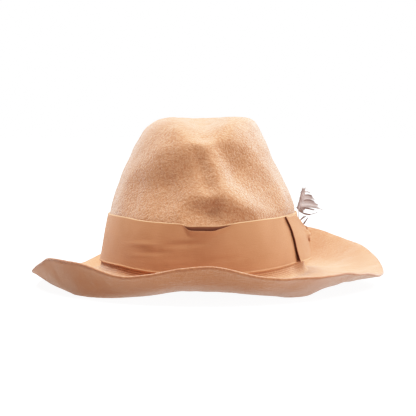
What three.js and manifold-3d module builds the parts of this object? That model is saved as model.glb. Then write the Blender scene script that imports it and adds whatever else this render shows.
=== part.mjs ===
// A camel felt fedora: one blocked felt body, a wide ribbon band, a flat bow and a small feather.
// Millimetres, +Z up, +Y to the back of the hat, +X to the wearer's left.
// The origin is on the surface that the hat rests on, under the middle of its outline.
import * as THREE from 'three';
import Module from 'manifold-3d';
import { mergeVertices } from 'three/addons/utils/BufferGeometryUtils.js';

// Felt body
const feltThickness = 2.0;
const crownHalfWidth = 83.5;
const crownHalfLength = 101;
const crownHeight = 125;
const breakHeight = 10.5;
const breakWave = 1.0;
const breakFillet = 5.0;
const brimReach = 56;
const brimLift = 38;
const settleBlend = 0.8;
const settlePress = 0.35;
const edgeRunOn = 0.6;
const creaseDepth = 19;
const creaseReach = 31;
const pinchDepth = 9;
const pinchReach = 30;
const ridgeFade = 14;

// Ribbon band
const ribbonWidth = 37.5;
const ribbonLayer = 0.6;
const bandRise = 10;
const bandGap = 0.3;
const pocketDrop = 4.6;
const pocketOpening = 1.8;
const pocketDepth = 5;
const pocketFoot = 0.3;
const slitWidth = 0.2;
const slitRim = 0.35;

// Bow
const bowHalfLength = 51;
const bowWidth = 36;
const bowWaist = 10;
const bowPuff = 5.5;
const bowFold = 0.42;
const bowBelowTop = 0.3;
const waistPuff = 0.2;
const waistEnd = 0.06;
const wingStart = 0.55;
const knotWidth = 11;
const knotLayer = 1.0;
const knotCorner = 1.5;
const bowGap = 0.3;

// Feather
const quillWidth = 1.1;
const quillLength = 20;
const quillSeat = 6;
const quillLean = 0.37;
const quillSlant = 0.06;
const quillBend = 1.8;
const quillBendPlace = 0.45;
const quillPlace = 8;
const vaneThickness = 0.7;
const vaneLength = 15;
const vaneSweep = 0.7;
const vaneHollow = 0.5;
const vaneBulge = 1.1;

// Fineness of the faceted surfaces
const feltColumns = 72;
const bowColumns = 16;
const foldSteps = 3;
const cornerSteps = 3;
const quillSteps = 8;
const quillSides = 4;
const vaneSteps = 5;

// Crown sections from the break to the top: height as a share of crownHeight,
// left and right as shares of crownHalfWidth, front and back as shares of crownHalfLength.
const crownSections = [
  { height: 0.00, left: 1.000, right: 1.000, front: 1.000, back: 1.000 },
  { height: 0.045, left: 0.992, right: 0.996, front: 0.998, back: 0.998 },
  { height: 0.15, left: 0.963, right: 0.977, front: 0.985, back: 0.985 },
  { height: 0.27, left: 0.933, right: 0.941, front: 0.968, back: 0.968 },
  { height: 0.37, left: 0.902, right: 0.907, front: 0.948, back: 0.952 },
  { height: 0.43, left: 0.880, right: 0.896, front: 0.932, back: 0.940 },
  { height: 0.51, left: 0.843, right: 0.855, front: 0.898, back: 0.922 },
  { height: 0.58, left: 0.806, right: 0.802, front: 0.862, back: 0.896 },
  { height: 0.66, left: 0.766, right: 0.742, front: 0.820, back: 0.862 },
  { height: 0.74, left: 0.707, right: 0.682, front: 0.772, back: 0.822 },
  { height: 0.82, left: 0.657, right: 0.634, front: 0.718, back: 0.774 },
  { height: 0.90, left: 0.587, right: 0.574, front: 0.648, back: 0.704 },
  { height: 0.94, left: 0.538, right: 0.545, front: 0.600, back: 0.648 },
  { height: 0.978, left: 0.452, right: 0.500, front: 0.525, back: 0.565 },
  { height: 0.998, left: 0.340, right: 0.410, front: 0.410, back: 0.440 },
  { height: 1.003, left: 0.200, right: 0.260, front: 0.270, back: 0.280 },
  { height: 1.003, left: 0.090, right: 0.110, front: 0.130, back: 0.130 },
];

// Folds pressed into the crown. Each follows a line of points, given as shares of the crown's half width,
// half length and height; depth and reach of the fold there are shares of its kind's sizes. A negative
// depth pushes the felt outwards.
const crownFolds = [
  { kind: 'crease', line: [
    { across: 0.02, along: -0.60, up: 0.97, depth: 0.50, reach: 0.80 },
    { across: 0.00, along: -0.20, up: 1.00, depth: 0.42, reach: 0.85 },
    { across: 0.00, along: 0.20, up: 1.00, depth: 0.20, reach: 0.80 },
  ] },
  { kind: 'pinch', line: [
    { across: -0.60, along: -0.62, up: 0.54, depth: 0.60, reach: 1.05 },
    { across: -0.34, along: -0.76, up: 0.54, depth: 1.00, reach: 1.30 },
    { across: -0.08, along: -0.84, up: 0.66, depth: 0.60, reach: 0.95 },
  ] },
  { kind: 'pinch', line: [
    { across: -0.05, along: -0.93, up: 0.42, depth: 0.45, reach: 0.54 },
    { across: 0.05, along: -0.93, up: 0.41, depth: 0.56, reach: 0.50 },
  ] },
  { kind: 'pinch', line: [
    { across: 0.18, along: -0.74, up: 0.80, depth: 0.42, reach: 0.68 },
    { across: 0.37, along: -0.72, up: 0.67, depth: 0.88, reach: 1.02 },
    { across: 0.62, along: -0.62, up: 0.52, depth: 0.52, reach: 0.90 },
  ] },
  { kind: 'pinch', line: [
    { across: 0.00, along: -0.74, up: 0.86, depth: -0.10, reach: 0.40 },
    { across: 0.08, along: -0.82, up: 0.73, depth: -0.30, reach: 0.46 },
    { across: 0.24, along: -0.86, up: 0.56, depth: -0.34, reach: 0.56 },
    { across: 0.48, along: -0.84, up: 0.42, depth: -0.30, reach: 0.66 },
  ] },
];

// Brim sections round the hat, in degrees from the wearer's left towards the back: reach as a share of
// brimReach, and the height a third of the way out, two thirds of the way out and at the edge, as shares
// of brimLift above a brim that lies flat.
const brimSections = [
  { turn: 0, reach: 1.15, near: 0.17, far: 0.16, edge: 0.26 },
  { turn: 12, reach: 1.16, near: 0.18, far: 0.20, edge: 0.45 },
  { turn: 22, reach: 1.13, near: 0.18, far: 0.25, edge: 0.63 },
  { turn: 35, reach: 1.10, near: 0.09, far: 0.23, edge: 0.76 },
  { turn: 47, reach: 1.07, near: -0.06, far: 0.24, edge: 0.91 },
  { turn: 61, reach: 1.02, near: 0.10, far: 0.42, edge: 1.00 },
  { turn: 75, reach: 0.97, near: 0.23, far: 0.53, edge: 1.00 },
  { turn: 90, reach: 0.95, near: 0.24, far: 0.50, edge: 0.95 },
  { turn: 106, reach: 0.97, near: 0.14, far: 0.32, edge: 0.79 },
  { turn: 118, reach: 1.03, near: 0.05, far: 0.11, edge: 0.53 },
  { turn: 127, reach: 1.07, near: 0.03, far: 0.03, edge: 0.31 },
  { turn: 136, reach: 1.06, near: 0.00, far: -0.04, edge: 0.14 },
  { turn: 150, reach: 1.02, near: 0.06, far: -0.04, edge: 0.08 },
  { turn: 165, reach: 0.99, near: 0.12, far: 0.03, edge: 0.11 },
  { turn: 180, reach: 0.97, near: 0.11, far: 0.04, edge: 0.21 },
  { turn: 195, reach: 0.98, near: 0.08, far: 0.05, edge: 0.36 },
  { turn: 208, reach: 0.98, near: 0.07, far: 0.05, edge: 0.58 },
  { turn: 215, reach: 0.99, near: 0.06, far: 0.03, edge: 0.70 },
  { turn: 224, reach: 0.98, near: 0.02, far: -0.05, edge: 0.70 },
  { turn: 233, reach: 0.98, near: 0.03, far: 0.04, edge: 0.66 },
  { turn: 247, reach: 0.98, near: 0.07, far: 0.14, edge: 0.48 },
  { turn: 255, reach: 0.98, near: 0.13, far: 0.22, edge: 0.54 },
  { turn: 263, reach: 0.98, near: 0.18, far: 0.30, edge: 0.66 },
  { turn: 274, reach: 0.99, near: 0.18, far: 0.33, edge: 0.69 },
  { turn: 287, reach: 0.98, near: 0.12, far: 0.19, edge: 0.49 },
  { turn: 300, reach: 0.99, near: 0.04, far: 0.13, edge: 0.44 },
  { turn: 311, reach: 0.99, near: -0.06, far: 0.13, edge: 0.44 },
  { turn: 322, reach: 0.99, near: 0.08, far: 0.17, edge: 0.42 },
  { turn: 334, reach: 1.03, near: 0.16, far: 0.19, edge: 0.33 },
  { turn: 347, reach: 1.10, near: 0.17, far: 0.17, edge: 0.24 },
];

// Crown row at which the fillet into the brim starts
const filletRow = 1;

// Shares of the brim's reach at which the felt has a ring of points, from the edge inwards
const brimRings = [1.0, 0.95, 0.87, 0.77, 0.67, 0.57, 0.47, 0.37, 0.26, 0.13, 0.0];
const filletRings = [0.33, 0.67];

// Crown rows that lie under the band, where the band has rings of its own
const bandSeams = [2, 3];

// Lower edge of the band round the crown, in degrees: its rise above the break as a share of bandRise
const bandSections = [
  { turn: 0, rise: 1.10 },
  { turn: 45, rise: 1.00 },
  { turn: 90, rise: 0.80 },
  { turn: 135, rise: 0.85 },
  { turn: 180, rise: 0.97 },
  { turn: 218, rise: 0.99 },
  { turn: 232, rise: 0.83 },
  { turn: 246, rise: 0.70 },
  { turn: 270, rise: 0.65 },
  { turn: 293, rise: 0.68 },
  { turn: 312, rise: 0.84 },
  { turn: 332, rise: 1.05 },
];

// The doubled top edge of the band, in degrees: how far the outer layer is lowered and stands off there,
// as shares of pocketDrop and pocketOpening.
const pocketSections = [
  { turn: 255, drop: 0.00, open: 0.00 },
  { turn: 261, drop: 0.04, open: 0.25 },
  { turn: 263, drop: 1.00, open: 0.80 },
  { turn: 270, drop: 1.00, open: 1.00 },
  { turn: 276, drop: 1.00, open: 0.80 },
  { turn: 281, drop: 0.45, open: 0.40 },
  { turn: 287, drop: 0.00, open: 0.00 },
];

// Bow sections across the ribbon, from its lower edge to its upper one: length as a share of bowHalfLength,
// puff of the front and back wings beside the knot and lift of the folded ends as shares of bowPuff.
const bowSections = [
  { level: -1.0, length: 0.88, front: 0.72, back: 0.50, lift: 0.42 },
  { level: -0.5, length: 0.90, front: 0.32, back: 0.35, lift: 0.14 },
  { level: 0.0, length: 0.93, front: 0.30, back: 0.60, lift: 0.06 },
  { level: 0.5, length: 0.99, front: 0.10, back: 0.72, lift: 0.03 },
  { level: 1.0, length: 1.07, front: 0.02, back: 0.40, lift: 0.02 },
];

// Vane clumps of the feather: place along the quill, reach as a share of vaneLength, rise of the tip as a
// share of the reach, and width as a share of vaneLength. Side 1 is outwards from the crown.
const vaneClumps = [
  { place: 0.91, side: 1, reach: 0.32, rise: -0.45, width: 0.24 },
  { place: 0.72, side: 1, reach: 0.60, rise: -0.44, width: 0.30 },
  { place: 0.52, side: 1, reach: 0.92, rise: -0.34, width: 0.32 },
  { place: 0.30, side: 1, reach: 1.24, rise: -0.16, width: 0.36 },
  { place: 0.70, side: -1, reach: 0.17, rise: -0.90, width: 0.52 },
  { place: 0.32, side: -1, reach: 0.17, rise: -0.90, width: 0.52 },
];

const degrees = Math.PI / 180;

// Smooth periodic or open interpolation of one named column of a table
function column(table, key, name, at, period = 0) {
  const count = table.length;
  let turn = at;
  if (period > 0) turn = ((at % period) + period) % period;
  let low = count - 1;
  for (let i = 0; i < count - 1; i += 1) {
    if (turn >= table[i][key] && turn <= table[i + 1][key]) {
      low = i;
      break;
    }
  }
  if (period === 0) low = Math.min(low, count - 2);
  const row = (i) => {
    const lap = Math.floor(i / count);
    const inside = period > 0 ? table[i - lap * count] : table[Math.min(Math.max(i, 0), count - 1)];
    return { at: inside[key] + (period > 0 ? lap * period : 0), value: inside[name] };
  };
  const [before, start, end, after] = [row(low - 1), row(low), row(low + 1), row(low + 2)];
  const span = end.at - start.at;
  const share = THREE.MathUtils.clamp((turn - start.at) / span, 0, 1);
  const slope = (a, b) => (b.at === a.at ? 0 : ((b.value - a.value) / (b.at - a.at)) * span);
  const startSlope = slope(before, end);
  const endSlope = slope(start, after);
  const s2 = share * share;
  const s3 = s2 * share;
  return start.value * (2 * s3 - 3 * s2 + 1) + end.value * (3 * s2 - 2 * s3)
    + startSlope * (s3 - 2 * s2 + share) + endSlope * (s3 - s2);
}

// Point of an oval whose four quarters have their own half-axes
function ovalPoint(turn, left, right, front, back, height) {
  const c = Math.cos(turn * degrees);
  const s = Math.sin(turn * degrees);
  return new THREE.Vector3(c * (c > 0 ? right : left), s * (s > 0 ? back : front), height);
}

function breakLevel(turn) {
  return breakHeight + breakWave * Math.cos(2 * turn * degrees);
}

// Undented crown at a row number of its table, whole or between rows
function blockPoint(turn, row) {
  const table = crownSections.map((section, index) => ({ ...section, index }));
  const take = (name) => column(table, 'index', name, row);
  const rise = take('height');
  const level = breakLevel(turn) + (crownHeight + breakHeight - breakLevel(turn)) * rise;
  return ovalPoint(turn, crownHalfWidth * take('left'), crownHalfWidth * take('right'),
    crownHalfLength * take('front'), crownHalfLength * take('back'), level);
}

// Undented crown at a height in millimetres
function blockAtHeight(turn, height) {
  const rise = (height - breakLevel(turn)) / (crownHeight + breakHeight - breakLevel(turn));
  const take = (name) => column(crownSections, 'height', name, rise);
  return ovalPoint(turn, crownHalfWidth * take('left'), crownHalfWidth * take('right'),
    crownHalfLength * take('front'), crownHalfLength * take('back'), height);
}

// Level direction square to the crown's oval
function outward(turn) {
  const way = new THREE.Vector3(Math.cos(turn * degrees) / crownHalfWidth,
    Math.sin(turn * degrees) / crownHalfLength, 0);
  return way.normalize();
}

const foldSizes = {
  crease: { depth: creaseDepth, reach: creaseReach },
  pinch: { depth: pinchDepth, reach: pinchReach },
};

function foldEnd({ across, along, up }) {
  return new THREE.Vector3(across * crownHalfWidth, along * crownHalfLength, breakHeight + up * crownHeight);
}

// How far a fold presses in a point of the crown: the deepest press of the stretches of its line
function foldPress(fold, point) {
  const size = foldSizes[fold.kind];
  let press = 0;
  for (let i = 1; i < fold.line.length; i += 1) {
    const [first, last] = [fold.line[i - 1], fold.line[i]];
    const stretch = new THREE.Line3(foldEnd(first), foldEnd(last));
    const share = stretch.closestPointToPointParameter(point, true);
    const distance = stretch.at(share, new THREE.Vector3()).distanceTo(point);
    const depth = size.depth * THREE.MathUtils.lerp(first.depth, last.depth, share);
    const reach = size.reach * THREE.MathUtils.lerp(first.reach, last.reach, share);
    const near = 1 - Math.min(1, distance / reach);
    const here = depth * near * near * (3 - 2 * near);
    if (Math.abs(here) > Math.abs(press)) press = here;
  }
  return press;
}

// Moves a point of the undented crown into the folds; the band keeps the felt from bulging out under it
function dented(point, turn) {
  const moved = point.clone();
  const bandTop = bandLevel(turn) + ribbonWidth;
  const free = THREE.MathUtils.smoothstep(point.z, bandTop, bandTop + ridgeFade);
  for (const fold of crownFolds) {
    const way = fold.kind === 'crease' ? new THREE.Vector3(0, 0, -1) : outward(turn).negate();
    const press = foldPress(fold, point);
    moved.addScaledVector(way, press < 0 ? press * free : press);
  }
  return moved;
}

function crownPoint(turn, row) {
  return dented(blockPoint(turn, row), turn);
}

// Quarter round from the crown's foot into the brim; share 0 is its crown end
function filletPoint(turn, share) {
  const foot = blockPoint(turn, filletRow);
  const radius = foot.z - breakLevel(turn);
  const swing = share * 90 * degrees;
  const out = breakFillet * (1 - Math.cos(swing));
  foot.addScaledVector(outward(turn), out);
  foot.z -= radius * Math.sin(swing);
  return foot;
}

// Height of the brim's upper face once the brim has settled flat where it would go below the surface
function settled(height) {
  const above = height - feltThickness;
  if (above > settleBlend) return height;
  if (above < -settleBlend) return feltThickness;
  return feltThickness + (above + settleBlend) ** 2 / (4 * settleBlend);
}

// Upper face of the brim, at a share of its reach from the fillet to the edge
function brimPoint(turn, share) {
  const take = (name) => column(brimSections, 'turn', name, turn, 360);
  const point = filletPoint(turn, 1);
  const level = (name) => feltThickness + brimLift * take(name);
  const profile = [
    { out: -1 / 3, height: level('near') },
    { out: 0, height: point.z },
    { out: 1 / 3, height: level('near') },
    { out: 2 / 3, height: level('far') },
    { out: 1, height: level('edge') },
    { out: 4 / 3, height: level('edge') + edgeRunOn * (level('edge') - level('far')) },
  ];
  const height = column(profile, 'out', 'height', share);
  const reach = brimReach * take('reach') - breakFillet;
  point.addScaledVector(outward(turn), reach * share);
  point.z = settled(height);
  return point;
}

// Closed body from rows of points; each row runs round the hat, and the rows form a loop or end in poles
function bodyFromRows(rows, { closedRows = true, closedColumns = false, poles = [] } = {}) {
  const width = rows[0].length;
  const positions = [];
  rows.forEach((row) => row.forEach((point) => positions.push(point.x, point.y, point.z)));
  const index = [];
  const rowSteps = closedColumns ? rows.length : rows.length - 1;
  const columnSteps = closedRows ? width : width - 1;
  for (let i = 0; i < rowSteps; i += 1) {
    const next = (i + 1) % rows.length;
    for (let j = 0; j < columnSteps; j += 1) {
      const k = (j + 1) % width;
      const [a, b, c, d] = [i * width + j, i * width + k, next * width + k, next * width + j];
      index.push(a, b, c, a, c, d);
    }
  }
  poles.forEach(({ row, point, flip }) => {
    const centre = positions.length / 3;
    positions.push(point.x, point.y, point.z);
    for (let j = 0; j < columnSteps; j += 1) {
      const a = row * width + j;
      const b = row * width + ((j + 1) % width);
      index.push(...(flip ? [centre, b, a] : [centre, a, b]));
    }
  });
  const geometry = new THREE.BufferGeometry();
  geometry.setAttribute('position', new THREE.Float32BufferAttribute(positions, 3));
  geometry.setIndex(index);
  return geometry;
}

function turnsOf(count) {
  return Array.from({ length: count }, (_, i) => (360 * i) / count);
}

function feltGeometry() {
  const turns = turnsOf(feltColumns);
  const ring = (make) => turns.map(make);
  const upper = [];
  brimRings.forEach((share) => upper.push(ring((turn) => brimPoint(turn, share))));
  filletRings.forEach((share) => upper.push(ring((turn) => filletPoint(turn, 1 - share))));
  for (let row = filletRow; row < crownSections.length; row += 1) {
    upper.push(ring((turn) => crownPoint(turn, row)));
  }
  const lastRow = upper[upper.length - 1];
  const top = new THREE.Vector3();
  lastRow.forEach((point) => top.addScaledVector(point, 1 / lastRow.length));

  const normalAt = (i, j) => {
    const above = i + 1 < upper.length ? upper[i + 1][j] : top;
    const below = upper[Math.max(i - 1, 0)][j];
    const ahead = upper[i][(j + 1) % feltColumns];
    const behind = upper[i][(j + feltColumns - 1) % feltColumns];
    const along = ahead.clone().sub(behind);
    return along.cross(above.clone().sub(below)).normalize();
  };
  const lower = upper.map((row, i) => row.map((point, j) => {
    const inner = point.clone().addScaledVector(normalAt(i, j), -feltThickness);
    if (point.z < feltThickness + settlePress) inner.z = 0;
    return inner;
  }));
  const innerTop = top.clone();
  innerTop.z -= feltThickness;
  const rows = [...lower.reverse(), ...upper];
  return bodyFromRows(rows, {
    poles: [
      { row: rows.length - 1, point: top, flip: false },
      { row: 0, point: innerTop, flip: true },
    ],
  });
}

// Band of ribbon round the foot of the crown
function bandLevel(turn) {
  return breakHeight + bandRise * column(bandSections, 'turn', 'rise', turn, 360);
}

function bandPoint(turn, height, standOff) {
  return blockAtHeight(turn, height).addScaledVector(outward(turn), standOff);
}

function pocket(turn, name) {
  const first = pocketSections[0].turn;
  const last = pocketSections[pocketSections.length - 1].turn;
  if (turn <= first || turn >= last) return 0;
  return Math.max(0, column(pocketSections, 'turn', name, turn));
}

function bandGeometry() {
  const inner = bandGap;
  const outer = bandGap + 2 * ribbonLayer;
  const slitInner = bandGap + ribbonLayer - slitWidth / 2;
  const slitOuter = slitInner + slitWidth;
  const turns = new Set([...turnsOf(feltColumns), ...pocketSections.map((section) => section.turn)]);
  const rows = [...turns].sort((a, b) => a - b).map((turn) => {
    const bottom = bandLevel(turn);
    const top = bottom + ribbonWidth;
    const drop = pocketDrop * pocket(turn, 'drop');
    const open = pocketOpening * pocket(turn, 'open');
    const innerTop = top - slitRim;
    const outerTop = top - drop;
    const slit = Math.min(outerTop, innerTop) - slitRim - pocketDepth * pocket(turn, 'open');
    const seams = bandSeams.map((row) => blockPoint(turn, row).z);
    return [
      bandPoint(turn, bottom, inner),
      ...seams.map((height) => bandPoint(turn, height, inner)),
      bandPoint(turn, innerTop, inner),
      bandPoint(turn, innerTop, slitInner),
      bandPoint(turn, slit, slitInner),
      bandPoint(turn, slit, slitOuter),
      bandPoint(turn, outerTop, slitOuter + open),
      bandPoint(turn, outerTop, outer + open),
      bandPoint(turn, slit, outer + open * pocketFoot),
      ...seams.reverse().map((height) => bandPoint(turn, height, outer)),
      bandPoint(turn, bottom, outer),
    ];
  });
  return bodyFromRows(rows, { closedColumns: true });
}

// Place on the band's outer face: along it from the wearer's left, up from its lower edge, and off it
function bandPlace(along, up, off) {
  const turn = along / ((crownHalfWidth + crownHalfLength) / 2 * degrees);
  const height = bandLevel(turn) + up;
  return bandPoint(turn, height, bandGap + 2 * ribbonLayer + bowGap + off);
}

// Middle of the bow above the band's lower edge, and the room its back run leaves for the knot
const bowCentre = ribbonWidth - bowWidth / 2 - bowBelowTop;
const knotRoom = knotLayer + 2 * bowGap;

// How far the bow has widened from its waist, at a share of its half length
function bowSpread(reach) {
  return THREE.MathUtils.smoothstep(Math.abs(reach), waistEnd, wingStart);
}

// Stand-off of the bow's back and front runs from the band
function bowRuns(section, reach) {
  const spread = bowSpread(reach);
  const lift = bowPuff * section.lift * reach ** 2;
  const back = ribbonLayer / 2 + knotRoom * (1 - spread) + lift;
  const puff = bowPuff * (reach < 0 ? section.front : section.back);
  const puffed = puff * (1 - reach ** 2) * spread + bowPuff * waistPuff * (1 - spread);
  return { back, front: back + 2 * bowFold + puffed };
}

// The bow's ribbon lies in one flat ring: a front run, a fold at each end, and a back run against the band
function bowPath(section) {
  const length = bowHalfLength * section.length;
  const path = [];
  for (const side of [1, -1]) {
    for (let i = 0; i <= bowColumns; i += 1) {
      const reach = side * ((2 * i) / bowColumns - 1);
      const runs = bowRuns(section, reach);
      path.push({ reach, along: length * reach, off: side > 0 ? runs.front : runs.back });
    }
    const { back, front } = bowRuns(section, side);
    const radius = (front - back) / 2;
    for (let i = 1; i < foldSteps; i += 1) {
      const swing = side * (Math.PI / 2 - (Math.PI * i) / foldSteps);
      const along = side * (length + radius * Math.cos(swing));
      path.push({ reach: side, along, off: back + radius + side * radius * Math.sin(side * swing) });
    }
  }
  return path;
}

// Both faces of the ribbon beside its path
function bowFaces(section) {
  const path = bowPath(section);
  return path.map((step, i) => {
    const ahead = path[(i + 1) % path.length];
    const behind = path[(i + path.length - 1) % path.length];
    const way = new THREE.Vector2(ahead.along - behind.along, ahead.off - behind.off).normalize();
    const half = (bowWaist + (bowWidth - bowWaist) * bowSpread(step.reach)) / 2;
    const face = (grow) => bandPlace(step.along - way.y * grow, bowCentre + half * section.level,
      step.off + way.x * grow);
    return { outer: face(ribbonLayer / 2), inner: face(-ribbonLayer / 2) };
  });
}

function bowGeometry() {
  const faces = bowSections.map(bowFaces);
  const rows = faces[0].map((_, i) => [
    ...faces.map((level) => level[i].inner),
    ...faces.map((level) => level[i].outer).reverse(),
  ]);
  return bodyFromRows(rows, { closedColumns: true });
}

// The knot is a short ribbon wrapped round the bow's waist: a rounded oblong ring
function knotGeometry() {
  const half = knotWidth / 2;
  const middleSection = bowSections[2];
  const tall = bowWaist / 2 + 2 * bowGap + knotLayer;
  const deep = (bowRuns(middleSection, 0).front + ribbonLayer / 2 + bowGap + knotLayer) / 2;
  const rows = [];
  for (const [upSide, offSide, start] of [[1, 1, 0], [-1, 1, 90], [-1, -1, 180], [1, -1, 270]]) {
    for (let i = 0; i <= cornerSteps; i += 1) {
      const swing = (start + (90 * i) / cornerSteps) * degrees;
      const place = (along, radius) => bandPlace(along,
        bowCentre + upSide * (tall - knotCorner) + radius * Math.cos(swing),
        deep + offSide * (deep - knotCorner) + radius * Math.sin(swing));
      const inside = knotCorner - knotLayer;
      rows.push([
        place(-half, inside), place(half, inside), place(half, knotCorner), place(-half, knotCorner),
      ]);
    }
  }
  return bodyFromRows(rows, { closedColumns: true });
}

// Solid for joining, from a closed geometry
function solidOf(wasm, geometry) {
  const plain = geometry.clone();
  plain.deleteAttribute('normal');
  plain.deleteAttribute('uv');
  const merged = mergeVertices(plain, 1e-4);
  return new wasm.Manifold(new wasm.Mesh({
    numProp: 3,
    vertProperties: new Float32Array(merged.attributes.position.array),
    triVerts: new Uint32Array(merged.index.array),
  }));
}

function geometryOf(solid) {
  const mesh = solid.getMesh();
  const geometry = new THREE.BufferGeometry();
  geometry.setAttribute('position', new THREE.BufferAttribute(mesh.vertProperties, 3));
  geometry.setIndex(new THREE.BufferAttribute(mesh.triVerts, 1));
  return geometry;
}

// Quill line of the feather: it is tucked between the band and the waist of the bow, beside the knot,
// and leans outwards above the band
function quillLine() {
  const bowTop = bowCentre + (bowWaist + (bowWidth - bowWaist) * bowSpread(quillPlace / bowHalfLength)) / 2;
  const beside = (up, lift = 0) => bandPlace(quillPlace, up, quillWidth / 2 + lift);
  const seat = beside(ribbonWidth, bowGap);
  const rise = new THREE.Vector3(quillLean, quillSlant, 1).normalize();
  const bend = seat.clone().addScaledVector(rise, quillLength * quillBendPlace);
  bend.x += quillBend;
  const tip = seat.clone().addScaledVector(rise, quillLength);
  return new THREE.CatmullRomCurve3([beside(bowTop - quillSeat), beside(bowTop), seat, bend, tip]);
}

function featherGeometry(wasm) {
  const line = quillLine();
  const freeShare = quillLength / line.getLength();
  const disc = new THREE.Shape();
  disc.absarc(0, 0, quillWidth / 2, 0, 2 * Math.PI, false);
  const quill = new THREE.ExtrudeGeometry(disc, {
    steps: quillSteps, curveSegments: quillSides, extrudePath: line,
  });
  let joined = solidOf(wasm, quill);
  vaneClumps.forEach((clump) => {
    const reach = vaneLength * clump.reach;
    const half = (vaneLength * clump.width) / 2;
    const rise = reach * clump.rise;
    const outline = new THREE.Shape();
    outline.moveTo(0, -half);
    outline.quadraticCurveTo(clump.side * reach * vaneSweep, -half * vaneBulge, clump.side * reach, rise);
    outline.quadraticCurveTo(clump.side * reach * vaneHollow, half * vaneBulge, 0, half);
    outline.closePath();
    const blade = new THREE.ExtrudeGeometry(outline, {
      depth: vaneThickness, bevelEnabled: false, curveSegments: vaneSteps,
    });
    blade.translate(0, 0, -vaneThickness / 2);
    blade.rotateX(Math.PI / 2);
    const root = line.getPointAt(1 - (1 - clump.place) * freeShare);
    blade.translate(root.x, root.y, root.z);
    joined = joined.add(solidOf(wasm, blade));
  });
  return geometryOf(joined);
}

// Materials
const feltFinish = new THREE.MeshStandardMaterial({ color: 0xd6a37b, roughness: 0.95, metalness: 0 });
const ribbonFinish = new THREE.MeshStandardMaterial({ color: 0xbf8558, roughness: 0.7, metalness: 0 });
const featherFinish = new THREE.MeshStandardMaterial({ color: 0xb5a39d, roughness: 0.8, metalness: 0 });

function piece(name, geometry, material) {
  geometry.computeVertexNormals();
  const mesh = new THREE.Mesh(geometry, material);
  mesh.name = name;
  return mesh;
}

const wasm = await Module();
wasm.setup();

const hat = new THREE.Group();
hat.add(piece('felt_body', feltGeometry(), feltFinish));
hat.add(piece('ribbon_band', bandGeometry(), ribbonFinish));
hat.add(piece('bow_ribbon', bowGeometry(), ribbonFinish));
hat.add(piece('bow_knot', knotGeometry(), ribbonFinish));
hat.add(piece('feather', featherGeometry(wasm), featherFinish));

// The origin goes under the middle of the outline
const outline = new THREE.Box3().setFromObject(hat);
const middle = outline.getCenter(new THREE.Vector3());
hat.position.set(-middle.x, -middle.y, -outline.min.z);

export default hat;
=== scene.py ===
# A camel felt fedora with a ribbon band, a flat bow and a feather, on a white studio floor.
# Lengths are in millimetres in the hat's own frame, the crown's axis at x = y = 0, until a mesh is made.
import math

import bpy
import numpy as np
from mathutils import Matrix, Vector


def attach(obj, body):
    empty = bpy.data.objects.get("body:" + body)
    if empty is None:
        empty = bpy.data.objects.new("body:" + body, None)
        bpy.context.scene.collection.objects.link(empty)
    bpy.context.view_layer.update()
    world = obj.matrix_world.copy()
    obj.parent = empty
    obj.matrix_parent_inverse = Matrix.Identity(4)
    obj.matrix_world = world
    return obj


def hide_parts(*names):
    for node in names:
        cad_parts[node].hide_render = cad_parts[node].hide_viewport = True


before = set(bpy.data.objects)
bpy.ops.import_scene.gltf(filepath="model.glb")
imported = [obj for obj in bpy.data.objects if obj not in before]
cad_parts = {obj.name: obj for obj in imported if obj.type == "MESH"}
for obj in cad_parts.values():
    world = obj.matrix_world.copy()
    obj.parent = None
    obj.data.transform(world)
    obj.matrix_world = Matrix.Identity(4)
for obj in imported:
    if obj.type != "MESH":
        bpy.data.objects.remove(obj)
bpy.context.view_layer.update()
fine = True

detail = 2 if fine else 1

# Place of the crown's axis in the model, and millimetres to metres
AXIS_X = -5.1075
AXIS_Y = 0.9619
MM = 0.001
FULL_TURN = 360.0
TINY = 1e-9

# Felt body
FELT_THICKNESS = 2.0
CROWN_HALF_WIDTH = 83.5
CROWN_HALF_LENGTH = 101.0
CROWN_HEIGHT = 125.0
BREAK_HEIGHT = 10.5
BREAK_WAVE = 1.0
BREAK_FILLET = 5.0
BRIM_REACH = 56.0
BRIM_LIFT = 38.0
SETTLE_BLEND = 0.8
EDGE_RUN_ON = 0.6
CREASE = {"depth": 19.0, "reach": 31.0}
PINCH = {"depth": 9.0, "reach": 30.0}
RIDGE_FADE = 14.0
NAP_FADE = (40.0, 62.0)
RING_SPACING = 1.7
RING_ROOM = 13.5
NO_RING = -1.0
RIM_BULGE = 0.75
FILLET_ROW = 1
SHARP_ANGLE = 55.0

# Steps of the felt's grid, which detail multiplies all but the fillet's, and shares of the crown's last row
# that close its top
FELT_COLUMNS = 144
BRIM_STEPS = 28
FILLET_STEPS = 9
CROWN_STEPS = 52
CAP_SHARES = (0.75, 0.5, 0.25)

# Unevenness of the felt: its waves, what they usually add up to, and the heights between which it fades in
# above the floor and fades out and in again where the band covers the wall
UNEVEN_WAVES = [{"high": 0.30, "length": 34.0, "seed": 3}, {"high": 0.12, "length": 13.0, "seed": 5}]
WAVE_COUNT = 7
WAVE_SUM = 2.6
WAVE_STRETCH = (0.7, 1.5)
FLOOR_FADE = (3.0, 9.0)
BAND_FOOT_FADE = (17.0, 20.0)
BAND_TOP_FADE = (57.0, 62.0)
WALL_REACH = 1.05

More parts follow.
